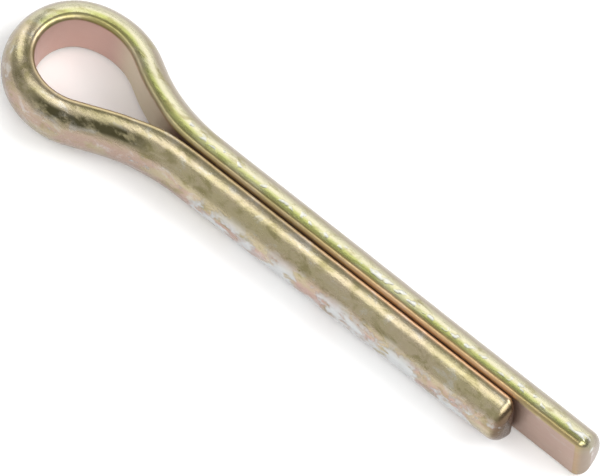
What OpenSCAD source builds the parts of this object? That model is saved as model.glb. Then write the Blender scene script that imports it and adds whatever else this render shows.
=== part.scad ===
// Cotter pin: one length of half-round wire bent double into an open eye,
// with two straight legs that lie flat to flat, one leg longer than the other.
// Lengths are in millimetres and angles in degrees.
// The pin lies flat. X runs along the shank from the eye to the leg ends, Y goes
// across the split, and Z is up. The origin is on the shank's axis, where the
// neck bends end and the straight legs begin.

/* [Shank] */

// diameter of the round shank that the two legs make together
shank_d = 5.7; // [4:0.1:9]
// length of the short leg's straight run
short_leg_length = 34; // [12:0.5:120]
// how far the long leg runs past the short one
prong_extra = 7; // [2:0.5:20]
// width of the split between the two flat faces
split_gap = 0.3; // [0.1:0.05:0.8]

/* [Eye] */

// inside radius of the round end of the eye
eye_r = 3.33; // [2.8:0.01:4.2]
// distance from the middle of the round end to the start of the straight legs
eye_to_shank = 13; // [11.5:0.1:20]
// inside radius of the short leg's shoulder
short_shoulder_r = 4.7; // [4.5:0.1:6.5]
// inside radius of the long leg's shoulder
long_shoulder_r = 5.7; // [4.5:0.1:7]
// how far round, from the shank's direction, the round end reaches before the shoulders
shoulder_start_deg = 114; // [95:1:130]

/* [Neck] */

// inside radius of the bend from the short leg's flank into its straight run
short_neck_r = 19; // [6:0.5:40]
// inside radius of the bend from the long leg's flank into its straight run
long_neck_r = 17.3; // [6:0.1:40]

/* [Wire] */

// radius of the two long edges between the flat face and the round face
edge_r = 0.35; // [0.15:0.05:0.5]
// radius of the rounding round each leg's cut end
end_r = 1.1; // [0.3:0.05:1.2]

/* [Hidden] */

$fn = 72;

plating = [0.80, 0.74, 0.55];
// the flat face stands half the split away from the shank's axis
half_gap = split_gap / 2;
shank_r = shank_d / 2;
// middle of the small circle that rounds each long edge
edge_z = sqrt(pow(shank_r - edge_r, 2) - pow(edge_r + half_gap, 2));
edge_deg = atan2(edge_z, edge_r + half_gap);
// a rounding's middle is moved out by this, so that it crosses the faces it rounds
edge_shift = 0.01;
// the end rounding starts a little outside the wire, for the same reason
end_clear = 0.02;
// shoulders and necks are this much fuller all round than the lengths they join
bend_swell = 0.01;
// and those lengths run on this far inside them
lap = 0.03;

// What rounding takes off the upper long edge of the section.
module edge_waste(swell) {
    translate([edge_r - edge_shift, edge_z + edge_shift])
        difference() {
            polygon([[0, 0],
                     [shank_d * cos(edge_deg), shank_d * sin(edge_deg)],
                     [-shank_d, shank_d],
                     [-shank_d, 0]]);
            circle(r = edge_r + swell);
        }
}

// Half-round section: the flat lies on Y, the round face is towards +X,
// and both long edges are rounded. All of it grows outward by swell.
module section(swell = 0) {
    difference() {
        intersection() {
            translate([-half_gap, 0])
                circle(r = shank_r + swell);
            translate([-swell, -shank_d])
                square([2 * shank_d, 2 * shank_d]);
        }
        edge_waste(swell);
        mirror([0, 1])
            edge_waste(swell);
    }
}

// Turns a drawn section upright, so that it is pushed out along +X
// with its round face towards +Y.
module along_x(length) {
    rotate([90, 0, 90])
        linear_extrude(height = length)
            children();
}

// Turns a drawn section through an arc about the origin.
module around(start_deg, end_deg) {
    rotate([0, 0, start_deg])
        rotate_extrude(angle = end_deg - start_deg)
            children();
}

// Half of a bar's outline from the axis out, with its far corner rounded.
module rounded_corner(width, length, corner_r) {
    difference() {
        square([width, length]);
        difference() {
            translate([width - corner_r, length - corner_r])
                square([corner_r + 1, corner_r + 1]);
            translate([width - corner_r, length - corner_r])
                circle(r = corner_r);
        }
    }
}

// Straight leg along the shank, cut square at its end with the rim rounded.
module straight_leg(leg_length) {
    intersection() {
        translate([-lap, half_gap, 0])
            along_x(leg_length + 1)
                section();
        translate([-1, 0, 0])
            rotate([0, 90, 0])
                rotate_extrude()
                    rounded_corner(shank_r + end_clear, leg_length + 1, end_r);
        translate([-1, half_gap - end_clear + shank_d, -shank_d])
            mirror([0, 1, 0])
                linear_extrude(height = 2 * shank_d)
                    mirror([1, -1, 0])
                        rounded_corner(shank_d, leg_length + 1 + end_clear, end_r);
    }
}

// One side of the pin on +Y: shoulder, flank, neck bend and straight leg.
module side(shoulder_r, wanted_neck_r, leg_length) {
    // the shoulder carries on from the round end in the same direction
    shoulder_x = (eye_r - shoulder_r) * cos(shoulder_start_deg) - eye_to_shank;
    shoulder_y = (eye_r - shoulder_r) * sin(shoulder_start_deg);
    // the neck bend is no wider than leaves a flank between it and the shoulder
    drop = half_gap - shoulder_y;
    room = (pow(shoulder_x, 2) + pow(drop, 2) - pow(shoulder_r, 2)) / (shoulder_r - drop) / 2;
    neck_r = min(wanted_neck_r, 0.98 * room);
    // the flank is the line that touches both bends and crosses between their middles
    rise = drop + neck_r;
    apart = sqrt(pow(shoulder_x, 2) + pow(rise, 2));
    flank_length = sqrt(pow(apart, 2) - pow(neck_r + shoulder_r, 2));
    flank_deg = 90 - atan2(rise, -shoulder_x) - acos((neck_r + shoulder_r) / apart);

    translate([shoulder_x, shoulder_y, 0]) {
        around(90 - flank_deg, shoulder_start_deg)
            translate([shoulder_r, 0])
                section(bend_swell);
        rotate([0, 0, -flank_deg])
            translate([-lap, shoulder_r, 0])
                along_x(flank_length + 2 * lap)
                    section();
    }
    translate([0, half_gap + neck_r, 0])
        around(270 - flank_deg, 270)
            translate([neck_r, 0])
                mirror([1, 0])
                    section(bend_swell);
    straight_leg(leg_length);
}

// The whole pin as one bent wire.
module pin_wire() {
    // the angle that the lap takes up at the round end
    lap_deg = lap / eye_r * 180 / PI;
    color(plating) {
        translate([-eye_to_shank, 0, 0])
            around(shoulder_start_deg - lap_deg, 360 - shoulder_start_deg + lap_deg)
                translate([eye_r, 0])
                    section();
        side(long_shoulder_r, long_neck_r, short_leg_length + prong_extra);
        mirror([0, 1, 0])
            side(short_shoulder_r, short_neck_r, short_leg_length);
    }
}

pin_wire();
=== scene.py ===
import math

import bpy
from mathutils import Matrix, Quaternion, Vector, noise


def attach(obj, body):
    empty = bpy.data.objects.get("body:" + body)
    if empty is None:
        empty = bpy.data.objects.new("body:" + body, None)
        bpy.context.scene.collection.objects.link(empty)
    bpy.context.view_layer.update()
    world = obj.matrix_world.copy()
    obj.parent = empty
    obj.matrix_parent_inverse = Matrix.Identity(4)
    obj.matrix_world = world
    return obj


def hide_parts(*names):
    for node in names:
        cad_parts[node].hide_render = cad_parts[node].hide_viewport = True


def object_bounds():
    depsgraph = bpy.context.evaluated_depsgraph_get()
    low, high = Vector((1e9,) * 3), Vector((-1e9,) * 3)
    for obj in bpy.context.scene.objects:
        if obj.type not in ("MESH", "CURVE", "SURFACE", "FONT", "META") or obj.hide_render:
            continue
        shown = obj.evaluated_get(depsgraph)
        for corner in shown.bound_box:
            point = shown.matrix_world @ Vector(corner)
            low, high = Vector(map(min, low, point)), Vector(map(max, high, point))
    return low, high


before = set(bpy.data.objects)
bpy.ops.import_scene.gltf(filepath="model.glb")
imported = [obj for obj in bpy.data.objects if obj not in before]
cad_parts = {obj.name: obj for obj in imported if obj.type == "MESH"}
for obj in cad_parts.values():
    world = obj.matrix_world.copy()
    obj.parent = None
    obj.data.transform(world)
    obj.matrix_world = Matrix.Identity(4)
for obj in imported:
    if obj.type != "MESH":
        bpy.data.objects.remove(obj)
cad_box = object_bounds()

MM = 0.001
# The wire and its bends, in millimetres. The eye and the bends are those of the part's
# source. The legs' thickness, the roundings and the long leg's end follow the photograph
# more closely than the part does.
SHANK_R = 2.85
# The legs are a touch thicker than the stretched wire of the eye.
EYE_T = 2.70
LEG_T = 2.82
# Radius of the two long edges between the flat face and the round face.
EDGE_R = 0.5
EYE_R = 3.33
EYE_X = -13.0
SHOULDER_START = math.radians(114)
SHORT = {"shoulder_r": 4.7, "neck_r": 19.0, "end": 34.0, "side": -1}
LONG = {"shoulder_r": 5.7, "neck_r": 17.3, "end": 40.75, "side": 1}
# The split at the neck, and the angle at which each leg closes it towards the ends.
NECK_GAP = 0.32
CLOSING = math.radians(0.18)
# The flat faces grow towards each other until this much split is left.
SPLIT = 0.04
# The rim of each cut end is rounded by this much.
END_R = 1.05
# Height of the wire's broad and its fine unevenness, and how far the whole skin is drawn
# in so that they stay inside the part.
BROAD_RIPPLE = 0.016
FINE_RIPPLE = 0.009
DRAWN_IN = 0.022
# Millimetres between rings along the path, and steps round each stretch of the section.
PATH_STEP = 0.22
FLAT_STEPS = 12
EDGE_STEPS = 12
ROUND_STEPS = 64
END_STEPS = 12

# Metres from the pin's middle to the floor's sides, and from the pin to every softbox.
FLOOR_REACH = 1.5
LIGHT_DISTANCE = 0.8

# Degrees, metres to the target, and millimetres for the lens and the target.
CAMERA = {"azimuth": 35.45, "elevation": 63.28, "roll": 5.6, "distance": 1.4,
          "lens": 1041.9, "target": (10.48, 0.56, 0.0)}


# ---------------------------------------------------------------- path of the wire

def arc(cx, cy, r, a0, a1):
    """Points of an arc with the direction that looks away from the flat face."""
    count = max(2, round(abs(a1 - a0) * r / PATH_STEP))
    out = []
    for i in range(count):
        a = a0 + (a1 - a0) * i / count
        out.append((cx + r * math.cos(a), cy + r * math.sin(a), math.cos(a), math.sin(a)))
    return out


def straight(x, y, length, slope):
    """Points of a straight run that drops at the angle slope."""
    count = max(2, round(length / PATH_STEP))
    dx, dy = math.cos(slope), -math.sin(slope)
    return [(x + dx * length * i / count, y + dy * length * i / count, -dy, dx)
            for i in range(count)]


def half_path(leg):
    """The flat face's line on one side, from the eye's round end to the leg's end, drawn
    on +Y: each point is x, y and the outward direction."""
    shoulder_r, neck_r, hg = leg["shoulder_r"], leg["neck_r"], NECK_GAP / 2
    sx = EYE_X + (EYE_R - shoulder_r) * math.cos(SHOULDER_START)
    sy = (EYE_R - shoulder_r) * math.sin(SHOULDER_START)
    rise = hg + neck_r - sy
    apart = math.hypot(sx, rise)
    flank = math.sqrt(apart ** 2 - (neck_r + shoulder_r) ** 2)
    slope = math.pi / 2 - math.atan2(rise, -sx) - math.acos((neck_r + shoulder_r) / apart)
    fx, fy = sx + shoulder_r * math.sin(slope), sy + shoulder_r * math.cos(slope)
    points = arc(EYE_X, 0, EYE_R, math.pi, SHOULDER_START)
    points += arc(sx, sy, shoulder_r, SHOULDER_START, math.pi / 2 - slope)
    points += straight(fx, fy, flank, slope)
    neck = arc(0, hg + neck_r, neck_r, 1.5 * math.pi - slope, 1.5 * math.pi - CLOSING)
    points += [(x, y, -nx, -ny) for x, y, nx, ny in neck]
    lx, ly = -neck_r * math.sin(CLOSING), hg + neck_r * (1 - math.cos(CLOSING))
    last = leg["end"] - END_R
    points += straight(lx, ly, last - lx, CLOSING)
    points.append((last, ly - (last - lx) * math.tan(CLOSING), math.sin(CLOSING), math.cos(CLOSING)))
    return points


# ---------------------------------------------------------------- section of the wire

def ease(x, start, end):
    """Rises smoothly from 0 at start to 1 at end."""
    share = min(max((x - start) / (end - start), 0), 1)
    return share * share * (3 - 2 * share)


def thickness(x):
    """How far the wire stands off its flat face, in the eye and in the legs."""
    return EYE_T + (LEG_T - EYE_T) * ease(x, -9, -2)


def filling(x, y):
    """How far the flat face stands out to meet the other leg's."""
    return max(y - SPLIT / 2, 0) * ease(x, -6, 1)


def section(thick, fill=0.0, inset=0.0):
    """The half-round section as (out, up, flatness) points, run from the bottom of the flat
    face, up it and back round the outside, all drawn in by inset."""
    r, flat = SHANK_R - inset, inset - fill
    edge = max(EDGE_R - 0.5 * inset, 0.1)
    axis = thick - SHANK_R
    cu = flat + edge
    cv = math.sqrt((r - edge) ** 2 - (cu - axis) ** 2)
    turn = math.atan2(cv, cu - axis)
    points = []
    for i in range(FLAT_STEPS):
        points.append((flat, cv * (2 * i / FLAT_STEPS - 1), 1.0))
    for i in range(EDGE_STEPS):
        share = i / EDGE_STEPS
        a = math.pi + (turn - math.pi) * share
        points.append((cu + edge * math.cos(a), cv + edge * math.sin(a), 1 - share))
    for i in range(ROUND_STEPS):
        a = turn * (1 - 2 * i / ROUND_STEPS)
        points.append((axis + r * math.cos(a), r * math.sin(a), 0.0))
    for i in range(EDGE_STEPS):
        share = i / EDGE_STEPS
        a = -turn - (math.pi - turn) * share
        points.append((cu + edge * math.cos(a), -cv + edge * math.sin(a), share))
    return points


# ---------------------------------------------------------------- the wire itself

def leg_rings(leg):
    """Rings of one side, from the eye's round end to the middle of the cut end; each point
    is x, y, z, flatness and how far it stands off the flat face."""
    side = leg["side"]
    rings = []
    path = half_path(leg)
    for x, y, nx, ny in path:
        body = section(thickness(x), filling(x, y))
        rings.append([(x + u * nx, side * (y + u * ny), v, f, u) for u, v, f in body])
    x, y, nx, ny = path[-1]
    for i in range(1, END_STEPS + 1):
        a = math.pi / 2 * i / END_STEPS
        ring = section(LEG_T, filling(x, y), END_R * (1 - math.cos(a)))
        ahead = END_R * math.sin(a)
        rings.append([(x + ahead * ny + u * nx, side * (y - ahead * nx + u * ny), v, 0.5 * f, u)
                      for u, v, f in ring])
    # the cut face closes in smaller rings round its middle
    middle = LEG_T * 0.45
    for share in (0.97, 0.8, 0.45, 0.12):
        rings.append([(x + END_R * ny + (middle + (u - middle) * share) * nx,
                       side * (y - END_R * nx + (middle + (u - middle) * share) * ny),
                       v * share, 0.0, u) for u, v, f in ring])
    return rings


def ripple(p):
    """Small unevenness of drawn and bent wire, as a shift in millimetres."""
    broad = noise.noise(Vector((p[0] * 0.16, p[1] * 0.3, p[2] * 0.3 + 7)))
    dents = noise.noise(Vector((p[0] * 0.55 + 3, p[1] * 0.8, p[2] * 0.8)))
    return BROAD_RIPPLE * broad + FINE_RIPPLE * dents


def make_wire():
    """One continuous mesh, from the short leg's end round the eye to the long leg's end."""
    short, long = leg_rings(SHORT), leg_rings(LONG)
    rings = list(reversed(short[1:])) + long
    n = len(rings[0])
    verts, flatness, outs = [], [], []
    for ring in rings:
        for x, y, z, f, u in ring:
            verts.append(Vector((x, y, z)))
            flatness.append(f)
            outs.append(u)
    faces = []
    for i in range(len(rings) - 1):
        for j in range(n):
            k = (j + 1) % n
            faces.append((i * n + j, (i + 1) * n + j, (i + 1) * n + k, i * n + k))
    last = (len(rings) - 1) * n
    faces.append(tuple(range(n)))
    faces.append(tuple(range(last + n - 1, last - 1, -1)))

    mesh = bpy.data.meshes.new("pin_wire_skin")
    mesh.from_pydata([v * MM for v in verts], [], faces)
    mesh.validate()
    mesh.update()
    normals = [v.normal.copy() for v in mesh.vertices]
    for vert, p, nrm in zip(mesh.vertices, verts, normals):
        vert.co = (p + nrm * (ripple(p) - DRAWN_IN)) * MM
    mesh.attributes.new("flatness", "FLOAT", "POINT").data.foreach_set("value", flatness)
    mesh.attributes.new("outward", "FLOAT", "POINT").data.foreach_set("value", outs)
    for poly in mesh.polygons:
        poly.use_smooth = True
    mesh.update()
    piece = bpy.data.objects.new("cotter_pin_wire", mesh)
    bpy.context.scene.collection.objects.link(piece)
    return piece


# ---------------------------------------------------------------- material

class Nodes:
    """Short calls for building one material's node tree."""

    def __init__(self, name):
        self.material = bpy.data.materials.new(name)
        self.material.use_nodes = True
        self.tree = self.material.node_tree
        self.tree.nodes.clear()

    def add(self, kind, **values):
        node = self.tree.nodes.new(kind)
        for key, value in values.items():
            setattr(node, key, value)
        return node

    def link(self, out, socket):
        self.tree.links.new(out, socket)

    def noise(self, coords, scale, detail=3.0, rough=0.5, distort=0.0):
        node = self.add("ShaderNodeTexNoise")
        node.inputs["Scale"].default_value = scale
        node.inputs["Detail"].default_value = detail
        node.inputs["Roughness"].default_value = rough
        node.inputs["Distortion"].default_value = distort
        self.link(coords, node.inputs["Vector"])
        return node.outputs["Fac"]

    def stretch(self, coords, scale, offset=(0, 0, 0)):
        node = self.add("ShaderNodeMapping")
        node.inputs["Scale"].default_value = scale
        node.inputs["Location"].default_value = offset
        self.link(coords, node.inputs["Vector"])
        return node.outputs["Vector"]

    def ramp(self, value, low, high):
        """0 below low and 1 above high; low may be the larger, which turns it round."""
        node = self.add("ShaderNodeMapRange")
        node.interpolation_type = "SMOOTHSTEP"
        flip = low > high
        node.inputs["From Min"].default_value = min(low, high)
        node.inputs["From Max"].default_value = max(low, high)
        node.inputs["To Min"].default_value = 1.0 if flip else 0.0
        node.inputs["To Max"].default_value = 0.0 if flip else 1.0
        self.link(value, node.inputs["Value"])
        return node.outputs["Result"]

    def math(self, operation, a, b):
        node = self.add("ShaderNodeMath", operation=operation)
        for socket, value in zip(node.inputs, (a, b)):
            if isinstance(value, (int, float)):
                socket.default_value = value
            else:
                self.link(value, socket)
        return node.outputs[0]

    def product(self, first, *others):
        """Everything multiplied together."""
        for other in others:
            first = self.math("MULTIPLY", first, other)
        return first

    def mix(self, share, a, b):
        """Mixes two colours; share, a and b may be constants or sockets."""
        node = self.add("ShaderNodeMix", data_type="RGBA")
        for socket, value in ((node.inputs[0], share), (node.inputs[6], a), (node.inputs[7], b)):
            if isinstance(value, (int, float)):
                socket.default_value = value
            elif isinstance(value, tuple):
                socket.default_value = (*value, 1.0)
            else:
                self.link(value, socket)
        return node.outputs[2]


# Colours of the film and the bare plate, and of the painted shade, highlights and reflections, as
# linear reflectances.
BRASS = (0.435, 0.37, 0.25)
OLIVE = (0.40, 0.36, 0.19)
GREEN = (0.31, 0.33, 0.09)
# painted highlight colour for the long leg's crown
CROWN_HIGHLIGHT_CREAM = (0.47, 0.45, 0.32)
PINK = (0.42, 0.29, 0.25)
ROSE = (0.44, 0.34, 0.275)
EYE_ROSE = (0.60, 0.42, 0.37)
# painted light for the long leg's flat where it leaves the eye
LIT_FLAT_PAINT = (0.66, 0.60, 0.46)
# painted shade for the long leg's outer side, the eye's bow and under the near flank
SIDE_SHADE = (0.24, 0.195, 0.145)
# painted shade for the rounded edges and the split between the legs
EDGE_SHADE_BROWN = (0.36, 0.25, 0.13)
SPLIT_SHADE_RUDDY = (0.62, 0.36, 0.21)
THICK_FILM = (0.24, 0.21, 0.09)
# painted dark reflection for the eye's near flank
DARK_REFLECTION = (0.05, 0.045, 0.02)
SHORT_END = (0.12, 0.075, 0.045)
LONG_END = (0.24, 0.21, 0.19)
SILVER = (0.56, 0.57, 0.57)
# painted glint colour for the worn spots on the long leg's crown
GLINT_WHITE = (0.66, 0.66, 0.61)


class Spot:
    """Where on the wire a shaded spot lies: x, y and z in metres, how far it belongs to the
    flat face, how many millimetres it stands off that face, and the noises that it shares."""

    def __init__(self, n):
        self.place = n.add("ShaderNodeTexCoord").outputs["Object"]
        axes = n.add("ShaderNodeSeparateXYZ")
        n.link(self.place, axes.inputs[0])
        self.x, self.y, self.z = axes.outputs
        self.flat = n.add("ShaderNodeAttribute", attribute_name="flatness").outputs["Fac"]
        self.outward = n.add("ShaderNodeAttribute", attribute_name="outward").outputs["Fac"]
        self.cloud = n.noise(n.stretch(self.place, (0.55, 1, 1)), 420, 4, 0.6)
        shifted = n.stretch(self.place, (0.4, 0.8, 1), (0.011, 0.004, 0))
        self.patches = n.noise(shifted, 380, 5, 0.62)
        self.fine = n.noise(n.stretch(self.place, (0.5, 1, 1)), 1300, 4, 0.65)


def round_face(n, at):
    """Brass all over, greener on top, rosy in clouds low down, with a painted cream highlight along
    the long leg's crown.
    """
    crown = n.ramp(at.z, 0.0010, 0.0024)
    greener = n.math("ADD", 0.65, n.product(n.ramp(at.y, -0.0003, 0.0004), 0.35))
    greener = n.product(greener, n.ramp(at.cloud, 0.35, 0.6))
    colour = n.mix(n.product(crown, greener), BRASS, OLIVE)
    # painted highlight: the long leg's crown is painted pale cream where its highlight runs, and
    # green between the crown and the split
    far = n.product(crown, n.ramp(at.y, 0.0, 0.0003))
    colour = n.mix(n.product(far, 0.8), colour, CROWN_HIGHLIGHT_CREAM)
    green = n.product(far, n.ramp(at.outward, 1.2, 0.8), n.ramp(at.patches, 0.30, 0.55))
    colour = n.mix(n.product(green, 0.85), colour, GREEN)
    rosy = n.product(n.ramp(at.z, 0.0021, 0.0008), n.ramp(at.patches, 0.42, 0.54))
    return n.mix(n.product(rosy, 0.95), colour, PINK)


def painted_side_shade(n, at, colour):
    """Painted shade: darker on the long leg's outer side, round the eye's bow and under its near
    flank.
    """
    rim = n.product(n.ramp(at.outward, 1.5, 2.0), n.ramp(at.y, 0.0010, 0.0020))
    bow = n.product(n.ramp(at.z, 0.0023, 0.0014), n.ramp(at.x, -0.0140, -0.0170))
    belly = n.product(n.ramp(at.z, 0.0018, 0.0010), n.ramp(at.y, -0.0005, -0.0020))
    belly = n.product(belly, n.ramp(at.x, 0.002, -0.004), 0.45)
    shade_share = n.math("MAXIMUM", rim, n.math("MAXIMUM", bow, belly))
    return n.mix(n.product(shade_share, 0.85), colour, SIDE_SHADE)


def flat_face(n, at, colour):
    """Rose, pinker inside the eye, and with painted light that makes it paler where the long leg
    leaves the eye.
    """
    wall = n.mix(n.ramp(at.x, -0.004, -0.012), n.mix(at.cloud, ROSE, PINK), EYE_ROSE)
    colour = n.mix(n.ramp(at.flat, 0.7, 1.0), colour, wall)
    # painted light: the flat is lightened where the long leg leaves the eye
    lit_share = n.product(n.ramp(at.x, -0.0125, -0.0095), n.ramp(at.x, -0.001, -0.004))
    lit_share = n.product(lit_share, at.flat, n.ramp(at.y, 0.0, 0.0005))
    return n.mix(lit_share, colour, LIT_FLAT_PAINT)


def painted_edge_shade(n, at, colour):
    """Painted shade where the wire rounds over between its faces: brown, and ruddy along the split
    towards the legs' ends.
    """
    edge = n.product(at.flat, n.math("SUBTRACT", 1.0, at.flat))
    inner = n.product(n.ramp(at.x, 0.008, 0.022), n.ramp(at.x, 0.0345, 0.0325))
    strength = n.math("ADD", 1.7, n.product(n.ramp(at.x, -0.004, 0.002), 1.3))
    return n.mix(n.product(edge, strength), colour, n.mix(inner, EDGE_SHADE_BROWN, SPLIT_SHADE_RUDDY))


def blotches(n, at, colour):
    """Thicker and thinner film in blotches a millimetre or two across."""
    shifted = n.stretch(at.place, (0.6, 1, 1), (0.05, 0.1, 0))
    blotch = n.noise(shifted, 800, 5, 0.65, 0.4)
    thick = n.product(n.ramp(blotch, 0.50, 0.66), n.ramp(at.flat, 0.5, 0.0), 0.7)
    colour = n.mix(thick, colour, THICK_FILM)
    thin = n.product(n.ramp(blotch, 0.46, 0.34), n.ramp(at.y, 0.001, -0.001), 0.35)
    return n.mix(thin, colour, SILVER)


def painted_dark_reflection(n, at, colour):
    """Painted reflection: a dark, blotched streak along the eye's near flank, where the metal
    mirrors something dark.
    """
    band = n.product(n.ramp(at.z, 0.0016, 0.0020), n.ramp(at.z, 0.00255, 0.00235))
    band = n.product(band, n.ramp(at.x, -0.0150, -0.0118), n.ramp(at.x, -0.0020, -0.0055))
    band = n.product(band, n.ramp(at.y, -0.0012, -0.0022), n.ramp(at.fine, 0.32, 0.56))
    return n.mix(n.product(band, 0.92), colour, DARK_REFLECTION)


def cut_ends(n, at, colour):
    """Both cut ends are darker than the sides, and the short leg's is nearly brown."""
    short_end = n.product(n.ramp(at.x, 0.0330, 0.0337), n.ramp(at.y, 0.0, -0.0002))
    colour = n.mix(n.product(short_end, 0.9), colour, SHORT_END)
    return n.mix(n.product(n.ramp(at.x, 0.0399, 0.0405), 0.6), colour, LONG_END)


def rubbed(n, at, spots):
    """Share of plate rubbed pale and rough along the short leg's lower flank."""
    flank = n.product(n.ramp(at.z, 0.0021, 0.0004), n.ramp(at.y, -0.0008, -0.0020))
    reach = n.product(n.ramp(at.x, -0.006, 0.010), n.ramp(at.x, 0.036, 0.028))
    limit = n.math("SUBTRACT", 0.66, n.product(reach, 0.14))
    limit = n.math("SUBTRACT", limit, n.product(flank, 0.05))
    return n.product(flank, n.ramp(n.math("SUBTRACT", spots, limit), -0.03, 0.06))


def crown_wear_and_glints(n, at):
    """Share of small spots along the long leg's crown, more of them towards its end: worn plate,
    with painted pale glints where the highlight runs.
    """
    glint_and_wear = n.noise(n.stretch(at.place, (0.9, 1, 1), (0, 0.3, 0)), 1500, 1, 0.4)
    glint_and_wear = n.math("ADD", glint_and_wear, n.product(n.ramp(at.x, 0.014, 0.022), 0.05))
    glint_and_wear = n.math("SUBTRACT", glint_and_wear, n.product(n.ramp(at.x, -0.001, -0.006), 0.3))
    crown = n.product(n.ramp(at.outward, 0.7, 0.95), n.ramp(at.outward, 1.45, 1.2))
    crown = n.product(crown, n.ramp(at.z, 0.0, 0.001), n.ramp(at.y, 0.0, 0.0003))
    return n.product(crown, n.ramp(glint_and_wear, 0.56, 0.70))


def surface_bump(n, at, worn, spots):
    """Fine grain, drawing streaks along the wire, and pits where the plate is worn."""
    streaks = n.noise(n.stretch(at.place, (0.05, 1, 1)), 1800, 3, 0.6)
    height = n.math("ADD", n.product(at.fine, 0.5), n.product(streaks, 0.3))
    height = n.math("ADD", height, n.product(worn, spots, 2.0))
    bump = n.add("ShaderNodeBump")
    bump.inputs["Strength"].default_value = 0.6
    bump.inputs["Distance"].default_value = 0.00008
    n.link(height, bump.inputs["Height"])
    return bump.outputs["Normal"]


def yellow_zinc():
    """Yellow chromate on zinc plate: a thin, uneven, slightly iridescent film on steel, with painted
    shade, highlights and reflections in its colour.
    """
    n = Nodes("yellow_zinc_plate")
    at = Spot(n)
    colour = round_face(n, at)
    # besides the film's own colours, the layers paint shade on the sides and edges, light on the
    # long leg's flat and a dark reflection on the eye's flank
    for layer in (painted_side_shade, flat_face, painted_edge_shade, blotches, painted_dark_reflection, cut_ends):
        colour = layer(n, at, colour)
    spots = n.noise(n.stretch(at.place, (0.6, 1, 1), (0.02, 0, 0)), 560, 6, 0.7)
    glint_and_wear = crown_wear_and_glints(n, at)
    worn = n.math("MAXIMUM", rubbed(n, at, spots), n.product(glint_and_wear, 0.75))
    colour = n.mix(worn, colour, SILVER)
    # painted glints: the spots on the crown are lightened towards near white
    colour = n.mix(n.product(glint_and_wear, 0.6), colour, GLINT_WHITE)

    rough = n.math("ADD", 0.20, n.product(at.fine, 0.14))
    rough = n.math("ADD", rough, n.product(worn, 0.25))
    rough = n.math("ADD", rough, n.product(at.flat, 0.2))

    bsdf = n.add("ShaderNodeBsdfPrincipled")
    bsdf.inputs["Metallic"].default_value = 1.0
    n.link(colour, bsdf.inputs["Base Color"])
    n.link(rough, bsdf.inputs["Roughness"])
    n.link(surface_bump(n, at, worn, spots), bsdf.inputs["Normal"])
    out = n.add("ShaderNodeOutputMaterial")
    n.link(bsdf.outputs[0], out.inputs["Surface"])
    return n.material


def floor_paint():
    """Plain pale floor, with the slightest tooth."""
    n = Nodes("pale_floor")
    place = n.add("ShaderNodeTexCoord").outputs["Object"]
    tooth = n.noise(place, 300, 2)
    bsdf = n.add("ShaderNodeBsdfPrincipled")
    n.link(n.mix(tooth, (0.92, 0.92, 0.92), (0.96, 0.96, 0.96)), bsdf.inputs["Base Color"])
    bsdf.inputs["Roughness"].default_value = 0.9
    bsdf.inputs["Specular IOR Level"].default_value = 0.1
    out = n.add("ShaderNodeOutputMaterial")
    n.link(bsdf.outputs[0], out.inputs["Surface"])
    return n.material


# ---------------------------------------------------------------- studio

def make_floor(low):
    """Plain floor at the height of the pin's lowest point."""
    mesh = bpy.data.meshes.new("floor")
    s = FLOOR_REACH
    mesh.from_pydata([(-s, -s, 0), (s, -s, 0), (s, s, 0), (-s, s, 0)], [], [(0, 1, 2, 3)])
    mesh.materials.append(floor_paint())
    floor = bpy.data.objects.new("floor", mesh)
    floor.location = (0, 0, low)
    bpy.context.scene.collection.objects.link(floor)


def direction(azimuth, elevation):
    """Azimuth 0 is towards -Y, where the camera stands at azimuth 0; 90 is towards +X."""
    a, e = math.radians(azimuth), math.radians(elevation)
    return Vector((math.sin(a) * math.cos(e), -math.cos(a) * math.cos(e), math.sin(e)))


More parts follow.
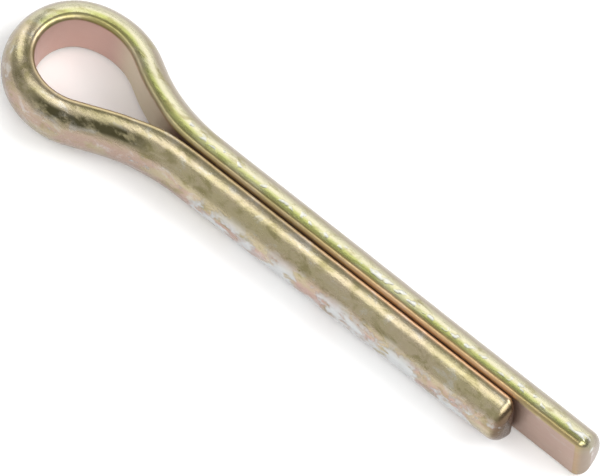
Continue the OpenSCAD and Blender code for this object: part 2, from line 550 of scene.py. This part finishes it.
def softbox(name, azimuth, elevation, width, height, radiance, spin=0.0):
    """A rectangular light that faces the pin; radiance is how bright it looks."""
    lamp = bpy.data.lights.new(name, "AREA")
    lamp.shape = "RECTANGLE"
    lamp.size, lamp.size_y = width, height
    lamp.energy = radiance * math.pi * width * height
    light = bpy.data.objects.new(name, lamp)
    back = direction(azimuth, elevation)
    light.location = back * LIGHT_DISTANCE
    light.rotation_mode = "QUATERNION"
    turn = (-back).to_track_quat("-Z", "Y")
    light.rotation_quaternion = Quaternion(back, math.radians(spin)) @ turn
    light.visible_camera = False
    bpy.context.scene.collection.objects.link(light)


def make_camera():
    """Long lens, looking down on the pin as the photograph does."""
    cam = bpy.data.cameras.new("camera")
    cam.sensor_width = 36.0
    cam.lens = CAMERA["lens"]
    cam.clip_start, cam.clip_end = 0.05, 10.0
    camera = bpy.data.objects.new("camera", cam)
    back = direction(CAMERA["azimuth"], CAMERA["elevation"])
    camera.location = Vector(CAMERA["target"]) * MM + back * CAMERA["distance"]
    camera.rotation_mode = "QUATERNION"
    look = (-back).to_track_quat("-Z", "Y")
    roll = Quaternion(back, math.radians(CAMERA["roll"]))
    camera.rotation_quaternion = roll @ look
    bpy.context.scene.collection.objects.link(camera)
    bpy.context.scene.camera = camera


def make_world():
    """Dim grey surround, so that the metal mirrors a room and not a void."""
    world = bpy.data.worlds.new("studio")
    world.use_nodes = True
    background = world.node_tree.nodes["Background"]
    background.inputs["Color"].default_value = (1.0, 0.99, 0.97, 1.0)
    background.inputs["Strength"].default_value = 0.4
    bpy.context.scene.world = world


def light_scene():
    """Two softboxes at the back, strips that climb over the eye's side to a small box
    overhead, a dim front fill, and two keys beyond the leg ends that mostly light the floor."""
    make_world()
    softbox("back", 203, 20, 1.1, 0.44, 1.9)
    softbox("back_high", 230, 42, 0.45, 0.24, 2.2)
    softbox("left_low", 266, 18, 0.62, 0.2, 2.2, spin=51)
    softbox("left_high", 315, 58, 0.5, 0.22, 2.0, spin=53)
    softbox("overhead", 345, 71, 0.34, 0.24, 1.3)
    softbox("front", 0, 28, 1.4, 0.7, 0.4)
    softbox("key", 125, 50, 0.5, 0.5, 5.5)
    softbox("second_key", 60, 48, 0.5, 0.5, 4.0)


wire = make_wire()
metal = yellow_zinc()
wire.data.materials.append(metal)
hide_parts("pin_wire")
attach(wire, "root")

make_floor(cad_box[0][2])
light_scene()
make_camera()
view = bpy.context.scene.view_settings
view.view_transform = "Standard"
view.exposure = 0.0
